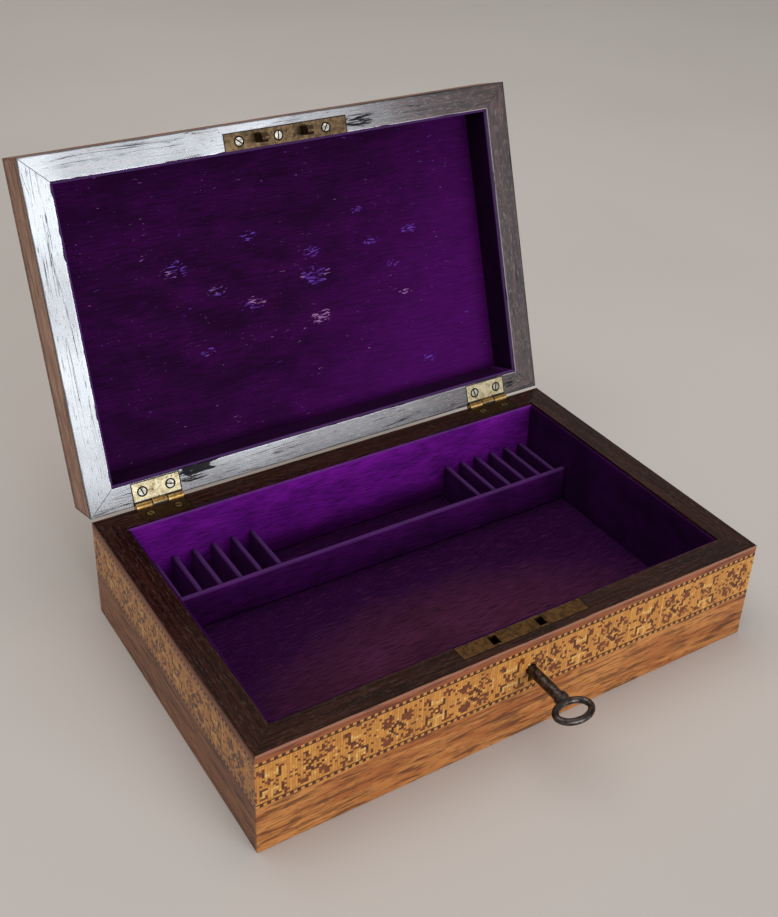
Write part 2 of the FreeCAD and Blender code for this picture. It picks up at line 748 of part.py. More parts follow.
box_walls = walls("wall_", ("base_thickness", "rim_bottom"))
wall_tools = {
    "front": [plate_bed, case_bed, selvedge_bed, key_way, *lock_holes],
    "back": back_tools,
}
box_rims = rims("rim_", ("rim_bottom", "rim"))
rim_tools = {"front": [selvedge_bed], "back": back_tools}
veneer_tools = {"front": [key_way], "back": back_tools}
for side in SIDES:
    keep(f"{side}_wall", cut(f"{side}_wall", box_walls[side], *wall_tools.get(side, [])))
    keep(f"{side}_rim", cut(f"{side}_rim", box_rims[side], *rim_tools.get(side, [])))
    field = facing(f"{side}_field", side, ("0", "band_bottom"))
    strip = facing(f"{side}_strip", side, ("band_top", "rim_bottom"))
    band = facing(f"{side}_band", side, ("band_bottom", "band_top"))
    tools = veneer_tools.get(side, [])
    keep(f"{side}_veneer", group(f"{side}_veneer", [
        cut(f"{side}_field", field, *tools), cut(f"{side}_strip", strip, *tools)]))
    keep(f"{side}_mosaic_band", cut(f"{side}_band", band, *tools))


# Velvet linings, divider and ribs

def rounded_board(name, axis, x, y, z):
    """Upright board whose top edge is a full round."""
    across = x if axis == "y" else y
    along = y if axis == "y" else x
    radius = f"(({across[1]}) - ({across[0]}))/2"
    middle = f"(({across[1]}) + ({across[0]}))/2"
    spring_line = f"{z[1]} - {radius}"
    lower = block(name + "_lower", x, y, (z[0], spring_line))
    crown = rod(name + "_crown", axis, radius, along, x=middle, y=middle, z=spring_line)
    return fuse(name, lower, crown)


wide = ("left_inside", "right_inside")
keep("floor_lining", block(
    "floor_pad_blank", wide, ("front_inside", "back_inside"), ("base_thickness", "floor")))
upright = ("floor", "lining_top")
lined = ("front_lined", "back_lined")
keep("front_lining", block("front_lining_blank", wide, ("front_inside", "front_lined"), upright))
keep("back_lining", block("back_lining_blank", wide, ("back_lined", "back_inside"), upright))
keep("left_lining", block("left_lining_blank", ("left_inside", "left_lined"), lined, upright))
keep("right_lining", block("right_lining_blank", ("right_lined", "right_inside"), lined, upright))
keep("tray_divider", rounded_board(
    "divider", "x", ("left_lined", "right_lined"), ("divider_front", "divider_back"),
    ("floor", "floor + divider_height")))
RIB_ROWS = {
    "left": "left_lined + left_rib_margin + {step}*left_rib_pitch",
    "right": "right_lined - right_rib_margin - {step}*right_rib_pitch",
}
for end, row in RIB_ROWS.items():
    ribs = []
    for step in range(RIBS_EACH_END):
        middle = row.format(step=step)
        ribs.append(rounded_board(
            f"{end}_rib_{step}", "y", (f"{middle} - rib_thickness/2", f"{middle} + rib_thickness/2"),
            ("divider_back", "back_lined"), ("floor", "floor + rib_height")))
    keep(f"{end}_tray_ribs", group(f"{end}_ribs", ribs))


# Lid

link_bed = block(
    "link_bed", centred("lock_length/2", "fit_clearance"),
    ("link_front - fit_clearance", f"front_inside + {SPARE}"), (f"lid_rim - {SPARE}", "link_top"))
LINK_SCREWS = {"left_link_screw": 40, "middle_link_screw": 95, "right_link_screw": 120}
link_holes = []
link_screws = []
for place, turn in LINK_SCREWS.items():
    link_holes.append(screw_hole(place + "_hole", "up", place, "link_middle", "lid_rim"))
    link_screws.append(screw(place + "_piece", "up", place, "link_middle", "lid_rim", turn))

lid_walls = walls("lid_wall_", ("lid_rim_top", "lid_ceiling"))
lid_rims = rims("lid_rim_", ("lid_rim", "lid_rim_top"))
lid_wall_tools = {"front": [link_bed, *link_holes], "back": lid_back_tools}
lid_veneer_tools = {"back": lid_back_tools}
for side in SIDES:
    tools = lid_wall_tools.get(side, [])
    keep_on_lid(f"lid_{side}_rail", cut(f"lid_{side}_rail", lid_walls[side], *tools))
    keep_on_lid(f"lid_{side}_rim", cut(f"lid_{side}_rim", lid_rims[side], *tools))
    sheet_blank = facing(f"lid_{side}_sheet", side, ("lid_rim_top", "lid_ceiling"))
    sheet_tools = lid_veneer_tools.get(side, [])
    keep_on_lid(f"lid_{side}_veneer", cut(f"lid_{side}_veneer", sheet_blank, *sheet_tools))

keep_on_lid("lid_top_board", round_face(
    slab("lid_board", rectangle(("left", "right"), ("front", "back")), ("lid_ceiling", "lid_top")),
    "lid_board", "upper", "lid_round"))
keep_on_lid("lid_velvet_panel", round_face(
    slab("lid_panel", rectangle(("left_inside", "right_inside"), ("front_inside", "back_inside")),
         ("panel_face", "lid_ceiling")),
    "lid_panel", "lower", "panel_round"))

hanging = ("lid_rim + lining_drop", "panel_face")
lid_inside = ("left_inside", "right_inside")
lid_lined = ("front_inside + lid_lining", "back_inside - lid_lining")
keep_on_lid("lid_wall_lining", group("lid_wall_lining", [
    block("lid_front_lining", lid_inside, ("front_inside", lid_lined[0]), hanging),
    block("lid_back_lining", lid_inside, (lid_lined[1], "back_inside"), hanging),
    block("lid_left_lining", ("left_inside", "left_inside + lid_lining"), lid_lined, hanging),
    block("lid_right_lining", ("right_inside - lid_lining", "right_inside"), lid_lined, hanging)]))


# Link plate with its staples

def staple(place):
    """Loop that hangs from the link plate and takes a finger of the bolt."""
    spring_line = "staple_tip + staple_width/2"
    shank = staple_block(place + "_shank", place, "0", (spring_line, "link_top"))
    loop = rod(
        place + "_loop", "x", "staple_width/2",
        (f"{place} - staple_thickness/2", f"{place} + staple_thickness/2"), y="bolt_y", z=spring_line)
    eye = block(
        place + "_eye", (f"{place} - staple_thickness", f"{place} + staple_thickness"),
        ("bolt_y - staple_eye_width/2", "bolt_y + staple_eye_width/2"), ("eye_bottom", "eye_top"))
    return cut(place, fuse(place, shank, loop), eye)


link_blank = block(
    "link_blank", centred("lock_length/2"), ("link_front", "front_inside"), ("lid_rim", "link_top"))
through_link = (f"lid_rim - {SPARE}", f"link_top + {SPARE}")
tenon_holes = [
    staple_block(place + "_tenon_hole", place, "screw_clearance", through_link) for place in STAPLES]
keep_on_lid("link_plate", cut("link_plate", link_blank, *tenon_holes, *link_holes))
keep_on_lid("link_staples", group("link_staples", [staple(place) for place in STAPLES]))
keep_on_lid("link_screws", group("link_screws", link_screws))

doc.recompute()
faults = [item.Name for item in doc.Objects if "Invalid" in item.State or "Error" in item.State]
faults += [piece.Label for piece in nodes if piece.Shape.isNull() or not piece.Shape.isValid()]
if faults:
    raise RuntimeError("pieces that failed: " + ", ".join(faults))
os.makedirs("parts", exist_ok=True)
for piece in nodes:
    piece.Shape.exportStep(f"parts/{piece.Label}.step")
print(len(nodes), "pieces written")
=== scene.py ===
import json
import math

import bmesh
import bpy
from mathutils import Matrix, Vector, noise


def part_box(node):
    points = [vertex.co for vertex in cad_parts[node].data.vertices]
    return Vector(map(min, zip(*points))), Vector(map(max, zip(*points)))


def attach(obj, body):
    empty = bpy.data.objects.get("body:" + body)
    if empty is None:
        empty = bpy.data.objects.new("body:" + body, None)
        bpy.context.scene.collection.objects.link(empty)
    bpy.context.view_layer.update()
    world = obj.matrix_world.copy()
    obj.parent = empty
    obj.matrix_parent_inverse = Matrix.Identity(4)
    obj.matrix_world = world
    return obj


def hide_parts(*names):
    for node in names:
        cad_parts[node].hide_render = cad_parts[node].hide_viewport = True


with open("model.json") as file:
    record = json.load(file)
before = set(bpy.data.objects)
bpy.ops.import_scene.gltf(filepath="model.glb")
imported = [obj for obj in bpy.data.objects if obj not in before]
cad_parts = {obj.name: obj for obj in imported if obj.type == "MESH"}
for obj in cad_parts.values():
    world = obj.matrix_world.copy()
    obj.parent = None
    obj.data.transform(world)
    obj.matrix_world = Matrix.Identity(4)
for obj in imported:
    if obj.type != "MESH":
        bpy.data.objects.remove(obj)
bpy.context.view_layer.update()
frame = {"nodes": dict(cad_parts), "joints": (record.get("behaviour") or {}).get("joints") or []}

# Locking jewellery box: rosewood with a wood-mosaic band, velvet lining, brass hinges, lock and iron key.
# Metres, in the frame of the solids. The lid stands open at rest.

MM = 0.001
NODES = frame["nodes"]
HINGE = next(joint for joint in frame["joints"] if joint["name"] == "lid_hinge")
HINGE_PLACE = Vector(HINGE["pos_m"])
LID_OPEN = math.radians(max(HINGE["range_deg"]))
OPENING = (
    Matrix.Translation(HINGE_PLACE) @ Matrix.Rotation(-LID_OPEN, 4, "X") @ Matrix.Translation(-HINGE_PLACE))
SHUTTING = OPENING.inverted()


def shut_box(node):
    """Corners of a lid node's box with the lid shut."""
    points = [SHUTTING @ vertex.co for vertex in NODES[node].data.vertices]
    return tuple(Vector(pick(point[axis] for point in points) for axis in range(3)) for pick in (min, max))


# Shader maths

class Wire:
    """A value that runs through a finish; sums on it add Math nodes."""

    def __init__(self, finish, socket):
        self.finish = finish
        self.socket = socket

    def math(self, operation, other=0.0, reflected=False):
        pair = (other, self) if reflected else (self, other)
        return self.finish.add("ShaderNodeMath", {"operation": operation}, {0: pair[0], 1: pair[1]})

    def __add__(self, other):
        return self.math("ADD", other)

    def __sub__(self, other):
        return self.math("SUBTRACT", other)

    def __mul__(self, other):
        return self.math("MULTIPLY", other)

    def __truediv__(self, other):
        return self.math("DIVIDE", other)

    def __rsub__(self, other):
        return self.math("SUBTRACT", other, True)

    __radd__ = __add__
    __rmul__ = __mul__

    def below(self, limit):
        return self.math("LESS_THAN", limit)

    def above(self, limit):
        return self.math("GREATER_THAN", limit)

    def size(self):
        return self.math("ABSOLUTE")

    def step(self):
        return self.math("FLOOR")

    def wrapped(self, period):
        return self.math("FLOORED_MODULO", period)

    def larger(self, other):
        return self.math("MAXIMUM", other)

    def smaller(self, other):
        return self.math("MINIMUM", other)

    def ramp(self, low, high):
        """Rise from 0 at the low value to 1 at the high one."""
        return self.finish.add(
            "ShaderNodeMapRange", {"interpolation_type": "SMOOTHSTEP"},
            {"Value": self, "From Min": low, "From Max": high})


class Finish:
    """One material of the box."""

    def __init__(self, name, **constants):
        self.material = bpy.data.materials.new(name)
        self.material.use_nodes = True
        self.nodes = self.material.node_tree.nodes
        self.links = self.material.node_tree.links
        self.shader = self.nodes["Principled BSDF"]
        for socket, value in constants.items():
            self.shader.inputs[socket.replace("_", " ").title().replace("Ior", "IOR")].default_value = value
        self.place = self.add("ShaderNodeTexCoord", {}, {}, "Object")

    def add(self, kind, settings, sockets, output=0):
        node = self.nodes.new(kind)
        for key, value in settings.items():
            setattr(node, key, value)
        for key, value in sockets.items():
            if isinstance(value, Wire):
                self.links.new(value.socket, node.inputs[key])
            else:
                node.inputs[key].default_value = value
        return Wire(self, node.outputs[output])

    def feed(self, socket, wire):
        self.links.new(wire.socket, self.shader.inputs[socket])

    def axis(self, letter, tilt=0.0):
        return self.add("ShaderNodeSeparateXYZ", {}, {0: self.levelled(tilt)}, letter)

    def levelled(self, tilt):
        """Object place, turned about the hinge by the tilt, so that the lid reads as if it were shut."""
        return self.add("ShaderNodeVectorRotate", {"rotation_type": "X_AXIS"}, {
            "Vector": self.place, "Center": HINGE_PLACE, "Angle": tilt})

    def turned(self, scale, tilt=0.0):
        """Levelled place, scaled."""
        return self.add(
            "ShaderNodeVectorMath", {"operation": "MULTIPLY"}, {0: self.levelled(tilt), 1: scale})

    def cloud(self, scale, tilt=0.0, detail=4.0, distortion=0.0):
        """Noise whose grain is as fine along each axis as the scale says, per metre."""
        return self.add(
            "ShaderNodeTexNoise", {},
            {"Vector": self.turned(scale, tilt), "Scale": 1.0, "Detail": detail, "Distortion": distortion})

    def speckle(self, x, y, z=0.0):
        """A fixed random value for each whole-number place."""
        spot = self.add("ShaderNodeCombineXYZ", {}, {0: x, 1: y, 2: z})
        return self.add("ShaderNodeTexWhiteNoise", {"noise_dimensions": "3D"}, {"Vector": spot}, "Value")

    def scratches(self, tilt, slant, pitch):
        """Thin straight scratches at a slant to the X axis, broken into short lengths."""
        aside = self.axis("X", tilt) * math.sin(slant) + self.axis("Y", tilt) * math.cos(slant)
        lane = (aside / pitch).step()
        off = (aside / pitch - lane - self.speckle(lane, 3.0)).size()
        lengths = self.cloud((120, 120, 120), tilt, 2).ramp(0.54, 0.58)
        return off.ramp(0.06, 0.02) * lengths

    def mix(self, share, first, second):
        return self.add(
            "ShaderNodeMix", {"data_type": "RGBA"}, {0: share, 6: first, 7: second}, 2)

    def bump(self, height, strength, distance):
        self.feed("Normal", self.add(
            "ShaderNodeBump", {}, {"Strength": strength, "Distance": distance, "Height": height}))


def tint(red, green, blue):
    """Colour of a screen, 0 to 255, as a linear one."""
    def linear(level):
        share = level / 255
        return share / 12.92 if share <= 0.04045 else ((share + 0.055) / 1.055) ** 2.4
    return linear(red), linear(green), linear(blue), 1.0


# Woods

VENEER = 1.0 * MM
# Broken places on the lid's rim, in millimetres with the lid shut: place along, place deep, reach.
BROKEN_PLACES = [(-70, 69, 10), (37, -71, 9), (102, 71, 6)]
BROKEN_DEPTH = 0.45
# Distances at which a mark begins and at which it is full.
INNER_EDGE_HIGHLIGHT_REACH = (0.6 * MM, 0.2 * MM)
PLATE_SEAM = (0.7 * MM, 0.3 * MM)
MITRE_SEAM = (0.3 * MM, 0.12 * MM)
TORN_REACH = 3 * MM
TORN_FADE = 0.25 * MM
EDGE_WEAR_AND_HIGHLIGHT_WANDER = 0.9 * MM
# Slant in radians, and pitch.
SCRATCH_SETS = [(0.6, 5 * MM), (-1.0, 7 * MM)]
WOOD_PORE = 0.04 * MM
RIM_GROOVE = 0.1 * MM
STRIP_RED = (tint(150, 84, 48), tint(104, 52, 32))
WORN_GREY = tint(132, 112, 108)
# Colour of the painted highlight along the lid rim's inner edge.
INNER_EDGE_HIGHLIGHT_GREY = tint(168, 156, 164)
SCRATCH_GREY = tint(130, 118, 116)
BROKEN_BROWN = tint(30, 18, 15)
CRACK_BLACK = tint(14, 8, 7)


def along(run, fine, coarse):
    """Scale that draws the grain out along one axis."""
    return tuple(coarse if letter == run else fine for letter in "XYZ")


def figured_wood(name, run, pale, mid, dark, tilt=0.0, strip=None):
    """Rosewood figure; the strip, where there is one, is a redder piece above the band."""
    finish = Finish(name, coat_roughness=0.25, coat_weight=0.08, specular_ior_level=0.3)
    figure = finish.cloud(along(run, 120, 18), tilt, 5, 1.6)
    streaks = finish.cloud(along(run, 560, 52), tilt, 5, 0.7)
    dashes = finish.cloud(along(run, 1300, 170), tilt, 3, 0.3)
    pores = finish.cloud(along(run, 2600, 190), tilt, 2)
    broad = finish.mix(figure.ramp(0.36, 0.64), pale, mid)
    lined = finish.mix(streaks.ramp(0.48, 0.66) * 0.75, broad, dark)
    dashed = finish.mix(dashes.ramp(0.53, 0.66) * 0.65, lined, dark)
    colour = finish.mix(pores.ramp(0.56, 0.7) * 0.4, dashed, dark)
    if strip:
        upper = finish.axis("Z").above(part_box("front_mosaic_band")[1].z)
        red = finish.mix(streaks.ramp(0.42, 0.68), *STRIP_RED)
        colour = finish.mix(upper, colour, red)
    finish.feed("Base Color", colour)
    finish.feed("Roughness", 0.36 + streaks * 0.22)
    finish.bump(pores * -1.0, 0.2, WOOD_PORE)
    return finish.material


def rim_gaps(finish, tilt):
    """In plan, with the lid shut: distance from the outer edge, from the inner edge and off the mitre."""
    across, deep = finish.axis("X", tilt).size(), finish.axis("Y", tilt)
    corner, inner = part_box("base_board")[1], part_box("floor_lining")
    side_gap = corner.x + VENEER - across
    end_gap = corner.y + VENEER - deep.size()
    inner_middle = (inner[0].y + inner[1].y) / 2
    inner_gap = (across - inner[1].x).larger((deep - inner_middle).size() - (inner[1].y - inner_middle))
    side_width = corner.x + VENEER - inner[1].x
    front_width = corner.y + VENEER + inner[0].y
    back_width = corner.y + VENEER - inner[1].y
    end_width = front_width + deep.above(0.0) * (back_width - front_width)
    mitre = (side_gap - end_gap * side_width / end_width).size()
    return side_gap.smaller(end_gap), inner_gap, mitre


def off_seats(finish, tilt, seats):
    """Distance in plan from the nearest metal plate let into the rim."""
    across, deep = finish.axis("X", tilt), finish.axis("Y", tilt)
    nearest = across * 0.0 + 1.0
    for low, high in seats:
        middle, half = (low + high) / 2, (high - low) / 2
        nearest = nearest.smaller(
            ((across - middle.x).size() - half.x).larger((deep - middle.y).size() - half.y))
    return nearest


def broken_wood(finish, tilt):
    """Nearness to the places where the lid's rim is broken away."""
    across, deep = finish.axis("X", tilt), finish.axis("Y", tilt)
    near = across * 0.0
    for x, y, reach in BROKEN_PLACES:
        aside = (across - x * MM) / (reach * MM)
        behind = (deep - y * MM) / (BROKEN_DEPTH * reach * MM)
        near = near.larger((aside * aside + behind * behind).ramp(1.3, 0.2))
    return near


def polished_rim(
        name, run, edge, tilt, seats, ground, shine, density, torn, wear, gloss, edge_width, broken):
    """Dark polish with fine grain and cracks; its outer edges are rubbed, and the box's pale edge colour
    there is also a painted highlight; its inner edge is ragged, and on the lid it carries a painted
    highlight line.
    """
    finish = Finish(name, ior=1.34, coat_ior=density, coat_roughness=0.14, specular_tint=shine)
    grain = finish.cloud(along(run, 900, 26), tilt, 4)
    pores = finish.cloud(along(run, 1900, 260), tilt, 3)
    cracks = finish.cloud(along(run, 460, 12), tilt, 4, 0.5)
    chips = finish.cloud(along(run, 260, 60), tilt, 6, 1.0)
    haze = finish.cloud(along(run, 110, 34), tilt, 4)
    dulled = finish.cloud((17, 17, 17), tilt, 3).ramp(0.42, 0.62)
    outer, inner, mitre = rim_gaps(finish, tilt)
    crack = (cracks - 0.5).size().ramp(0.016, 0.007) * haze.ramp(0.44, 0.58) * wear
    pitted = pores.ramp(0.62, 0.7) * wear
    colour = finish.mix(grain.ramp(0.35, 0.7), *ground)
    colour = finish.mix(pores.ramp(0.46, 0.34) * 0.7 * wear, colour, WORN_GREY)
    seam = off_seats(finish, tilt, seats).ramp(*PLATE_SEAM)
    seam = seam.larger(mitre.ramp(*MITRE_SEAM) * 0.8)
    ragged = ((chips - 0.49) * TORN_REACH - inner).ramp(0.0, TORN_FADE)
    rubbed = (outer + (chips - 0.45) * EDGE_WEAR_AND_HIGHLIGHT_WANDER).ramp(edge_width, 0.4 * edge_width)
    first, second = (finish.scratches(tilt, slant, pitch) for slant, pitch in SCRATCH_SETS)
    scored = first.larger(second) * wear
    bare = ragged.larger(seam).larger(rubbed * 0.8)
    if broken:
        near = broken_wood(finish, tilt)
        lost = (chips + near * 0.1).ramp(0.61, 0.65) * near.ramp(0.0, 0.3)
        crack = crack.larger((cracks - 0.5).size().ramp(0.045, 0.02) * near)
        bare = bare.larger(lost)
        # Painted highlight: a pale line along the lid rim's inner edge.
        colour = finish.mix(inner.ramp(*INNER_EDGE_HIGHLIGHT_REACH) * wear, colour, INNER_EDGE_HIGHLIGHT_GREY)
    bare = bare.larger(crack)
    colour = finish.mix(scored * 0.2, colour, SCRATCH_GREY)
    if broken:
        colour = finish.mix(lost, colour, BROKEN_BROWN)
    # Outer edge colour: dark rubbed wear on the lid; on the box a pale tint that is partly wear and partly a
    # painted highlight.
    colour = finish.mix(rubbed, colour, edge)
    colour = finish.mix(ragged, colour, torn)
    colour = finish.mix(crack.larger(pitted * 0.6).larger(seam), colour, CRACK_BLACK)
    dullness = haze.ramp(0.4, 0.8) * 0.12 + dulled * 0.14 + pitted * 0.1 + scored * 0.1 + bare * 0.4
    finish.feed("Base Color", colour)
    finish.feed("Roughness", 0.16 + dullness)
    finish.feed("Coat Weight", (1 - bare.larger(pitted * 0.7)) * (1 - dulled * 0.35) * gloss)
    finish.bump(grain * 0.3 - pitted * 0.6 - bare, 0.4, RIM_GROOVE)
    return finish.material


# Mosaic

TESSERA = 1.08 * MM
PERIOD = 32
ROSETTE_PLACE = 7.35 * MM
STRINGING = 1.2 * MM
DASH = 1.5 * MM
BAND_LINE = 0.25 * MM
BAND_LINE_REACH = 0.28 * MM
BELOW_MIDDLE = 1 * MM
MISSING_TESSERAE = 0.17
STRAY_TESSERAE = 0.93
MOSAIC_JOINT = 0.06 * MM
GROUND_TINTS = (tint(218, 152, 72), tint(180, 114, 46))
BROWN_TINTS = (tint(126, 64, 32), tint(84, 42, 24))
BROWN_STRAY = tint(186, 122, 58)
DARK_TINTS = (tint(98, 52, 28), tint(64, 33, 19))
CREAM_TINTS = (tint(230, 184, 108), tint(214, 162, 86))
JOINT_TINT = tint(96, 52, 22)
LINE_TINT = tint(70, 36, 20)
DASH_TINTS = (tint(72, 36, 20), tint(196, 136, 68))
BAND_SOIL = tint(124, 70, 32)
CREAM, BROWN, DARK = 3.0, 1.0, 2.0
# Strokes in tesserae: shade, first and last column from the motif's middle, first and last row.
ROSETTE = [
    (BROWN, 2, 6, 3, 5), (BROWN, 3, 5, 2, 6), (BROWN, 2, 6, -5, -3), (BROWN, 3, 5, -6, -2),
    (DARK, 3, 3, 6, 7), (BROWN, 7, 7, 7, 7), (BROWN, 7, 7, -7, -7), (CREAM, 4, 4, 0, 0),
    (CREAM, 0, 0, 4, 4), (CREAM, 0, 0, -4, -4)]
BETWEEN = [
    (BROWN, 7, 7, 1, 1), (BROWN, 7, 7, -1, -1), (BROWN, 9, 9, 1, 1), (BROWN, 9, 9, -1, -1),
    (BROWN, 6, 6, -2, -2), (BROWN, 10, 10, -2, -2), (CREAM, 8, 8, 0, 0), (CREAM, 8, 8, 3, 3)]
FRET = [
    (BROWN, 3, 5, 5, 7), (CREAM, 0, 2, 4, 4), (CREAM, 2, 2, 4, 5), (DARK, 3, 3, 3, 5), (DARK, 1, 3, 2, 2),
    (BROWN, 0, 2, -1, 1), (CREAM, 0, 0, 0, 0), (DARK, 2, 3, -2, -2), (DARK, 4, 4, -5, -2),
    (BROWN, 2, 6, -6, -5), (CREAM, 0, 3, -3, -3), (CREAM, 3, 3, -5, -4), (CREAM, 0, 0, -7, -4)]


def mosaic(name, run):
    """Tessera pattern of rosettes and frets between two dashed stringings."""
    low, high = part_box("front_mosaic_band")
    middle = (low.z + high.z) / 2 - BELOW_MIDDLE
    finish = Finish(name, coat_weight=0.06, coat_roughness=0.25, specular_ior_level=0.3)
    length = finish.axis(run)
    height = finish.axis("Z")
    across = (length - ROSETTE_PLACE) / TESSERA + 0.5
    rise = (height - middle) / TESSERA + 0.5
    column = across.step()
    row = rise.step()
    from_rosette = ((column + PERIOD / 2).wrapped(PERIOD) - PERIOD / 2).size()
    from_fret = PERIOD / 2 - from_rosette

    def inside(distance, stroke):
        _, first, last, bottom, top = stroke
        wide = (distance - (first + last) / 2).size() - (last - first) / 2
        tall = (row - (bottom + top) / 2).size() - (top - bottom) / 2
        return wide.larger(tall).below(0.25)

    diamond = from_rosette + row.size()
    ring = (diamond - 2.5).size().below(0.75)
    shade = ring * DARK
    shade = shade + diamond.below(0.5) * CREAM
    for distance, strokes in ((from_rosette, ROSETTE + BETWEEN), (from_fret, FRET)):
        for stroke in strokes:
            mask = inside(distance, stroke)
            shade = shade * (1 - mask) + mask * stroke[0]

    stray = finish.speckle(column, row, 11.0)
    shade = (shade * stray.above(MISSING_TESSERAE)).larger(stray.above(STRAY_TESSERAE) * BROWN)
    chance = finish.speckle(column, row)
    stripe = finish.speckle(column, 0.0, 7.0)
    ground = finish.mix(stripe * 0.6 + chance * 0.3, *GROUND_TINTS)
    brown = finish.mix(chance, *BROWN_TINTS)
    brown = finish.mix(chance.above(0.78), brown, BROWN_STRAY)
    dark = finish.mix(chance, *DARK_TINTS)
    cream = finish.mix(chance, *CREAM_TINTS)
    colour = finish.mix(shade.above(0.5), ground, brown)
    colour = finish.mix(shade.above(1.5), colour, dark)
    colour = finish.mix(shade.above(2.5), colour, cream)
    joint = ((across - column - 0.5).size()).ramp(0.36, 0.5)
    joint = joint.larger(((rise - row - 0.5).size()).ramp(0.42, 0.5) * 0.6)
    colour = finish.mix(joint * 0.6, colour, JOINT_TINT)

    edge = (height - (low.z + high.z) / 2).size()
    string = edge.above((high.z - low.z) / 2 - STRINGING)
    line = (edge - ((high.z - low.z) / 2 - STRINGING - BAND_LINE)).size().below(BAND_LINE_REACH)
    dash = (length / DASH).wrapped(2).below(0.95)
    colour = finish.mix(line, colour, LINE_TINT)
    colour = finish.mix(string, colour, finish.mix(dash, *DASH_TINTS))
    soil = finish.cloud((150, 150, 150), 0.0, 5)
    finish.feed("Base Color", finish.mix(soil.ramp(0.48, 0.75) * 0.3, colour, BAND_SOIL))
    finish.feed("Roughness", 0.32 + chance * 0.14)
    finish.bump(joint * -1.0, 0.25, MOSAIC_JOINT)
    return finish.material


# Velvet

# The floor's pile is faded brown over an oval in front of the lock; away from it, towards the ends and the
# back, it is darker purple, partly unfaded pile and partly painted shade.
FADED_REACH = Vector((105, 52)) * MM
FADED_PLACE = -38 * MM
# The pile is paler where it turns over a board's top, or over the lid's lower edge: partly worn pile, partly
# a painted highlight.
CREST_DEPTH = 1.2 * MM
# Worn spots on the lid's panel, in millimetres with the lid shut: place along, place deep, reach.
WORN_SPOTS = [
    (-57, -18, 8), (-38, -4, 6), (-22, 5, 7), (12, -2, 10), (13, -13, 6), (12, 18, 7), (40, -28, 4),
    (67, -14, 5), (44, -12, 5), (55, 1, 4), (60, 16, 4), (70, 52, 5), (-19, -26, 5), (-47, 22, 4)]
SPOT_DEPTH = 0.5
# The lid's panel is painted lighter towards its right-hand end at the hinges: a painted pool of light.
PAINTED_LIGHT_FROM = -10 * MM
PAINTED_LIGHT_FULL = 120 * MM
PILE_DEPTH = 0.12 * MM
PILE_SHEEN = tint(170, 70, 200)
PILE_SHADOW = tint(18, 2, 22)
PAINTED_LIGHT_PILE = tint(90, 12, 108)
BACKING_TINTS = (tint(110, 62, 176), tint(168, 114, 166))
CREST_WEAR_AND_HIGHLIGHT = tint(98, 62, 122)


def velvet(name, pile, tilt=0.0, worn=0.0, crest=None, run="X", unfaded_and_shaded=None):
    """Short pile with nap streaks; where it is worn the backing shows paler."""
    finish = Finish(
        name, roughness=0.95, sheen_weight=0.22, sheen_roughness=0.4, sheen_tint=PILE_SHEEN,
        specular_ior_level=0.08)
    nap = finish.cloud(along(run, 75, 42), tilt, 7, 0.3)
    threads = finish.cloud(along(run, 1700, 130), tilt, 4)
    tufts = finish.cloud((2400, 2400, 2400), tilt, 2)
    low, high = pile
    colour = finish.mix(nap.ramp(0.25, 0.8), low, high)
    if unfaded_and_shaded:
        aside = finish.axis("X") / FADED_REACH.x
        behind = (finish.axis("Y") - FADED_PLACE) / FADED_REACH.y
        # Outside the oval: darker purple, partly unfaded pile and partly painted shade.
        colour = finish.mix((aside * aside + behind * behind + nap - 0.5).ramp(0.1, 1.3), colour, unfaded_and_shaded)
    colour = finish.mix(threads.ramp(0.48, 0.62) * 0.5, colour, PILE_SHADOW)
    colour = finish.mix(threads.ramp(0.44, 0.3) * 0.45, colour, high)
    colour = finish.mix(tufts.ramp(0.55, 0.75) * 0.5, colour, high)
    if worn:
        scuffs = finish.cloud((300, 1100, 1100), tilt, 6, 0.8)
        flecks = finish.cloud((420, 2600, 2600), tilt, 1)
        across, deep = finish.axis("X", tilt), finish.axis("Y", tilt)
        # Painted light: the panel lightens towards its right-hand end.
        painted_light = (across * 0.9 + deep * 0.7).ramp(PAINTED_LIGHT_FROM, PAINTED_LIGHT_FULL) * (1.2 - threads)
        colour = finish.mix(painted_light * 0.75, colour, PAINTED_LIGHT_PILE)
        rubbed = finish.cloud((60, 260, 260), tilt, 4, 0.3).ramp(0.66, 0.84) * 0.7
        for x, y, reach in WORN_SPOTS:
            aside = (across - x * MM) / (reach * MM)
            behind = (deep - y * MM) / (SPOT_DEPTH * reach * MM)
            rubbed = rubbed.larger((aside * aside + behind * behind).ramp(1.8, 0.0))
        flecked = flecks.ramp(0.74, 0.78) * nap.ramp(0.52, 0.6) * 0.5
        bare = (scuffs + rubbed * 0.17).ramp(0.68, 0.77).larger(flecked) * worn
        backing = finish.mix(finish.cloud((70, 70, 70), tilt, 2).ramp(0.45, 0.56), *BACKING_TINTS)
        colour = finish.mix(bare, colour, backing)
    if crest:
        # Crest: partly worn pile, partly a painted highlight.
        top = finish.axis("Z", tilt).ramp(crest + (CREST_DEPTH if tilt else -CREST_DEPTH), crest)
        colour = finish.mix(top * (0.35 + tufts * 0.4), colour, CREST_WEAR_AND_HIGHLIGHT)
    finish.feed("Base Color", colour)
    finish.bump(threads + tufts * 0.5 + nap * 0.3, 0.4, PILE_DEPTH)
    return finish.material


# Metals

CENTRE_KNUCKLE = 7.2 * MM
KNUCKLE = 2.1 * MM
KNUCKLE_BRASS = (tint(182, 146, 88), tint(134, 98, 54))
KNUCKLE_SEAM = 0.35 * MM
ROOT_SEAM = 0.3 * MM
METAL_SCRATCH = 0.02 * MM
SLOT_FLOOR = 0.15 * MM
KNUCKLE_GAP_SHADE = tint(26, 18, 12)
SLOT_GRIME_AND_SHADE = tint(22, 16, 12)


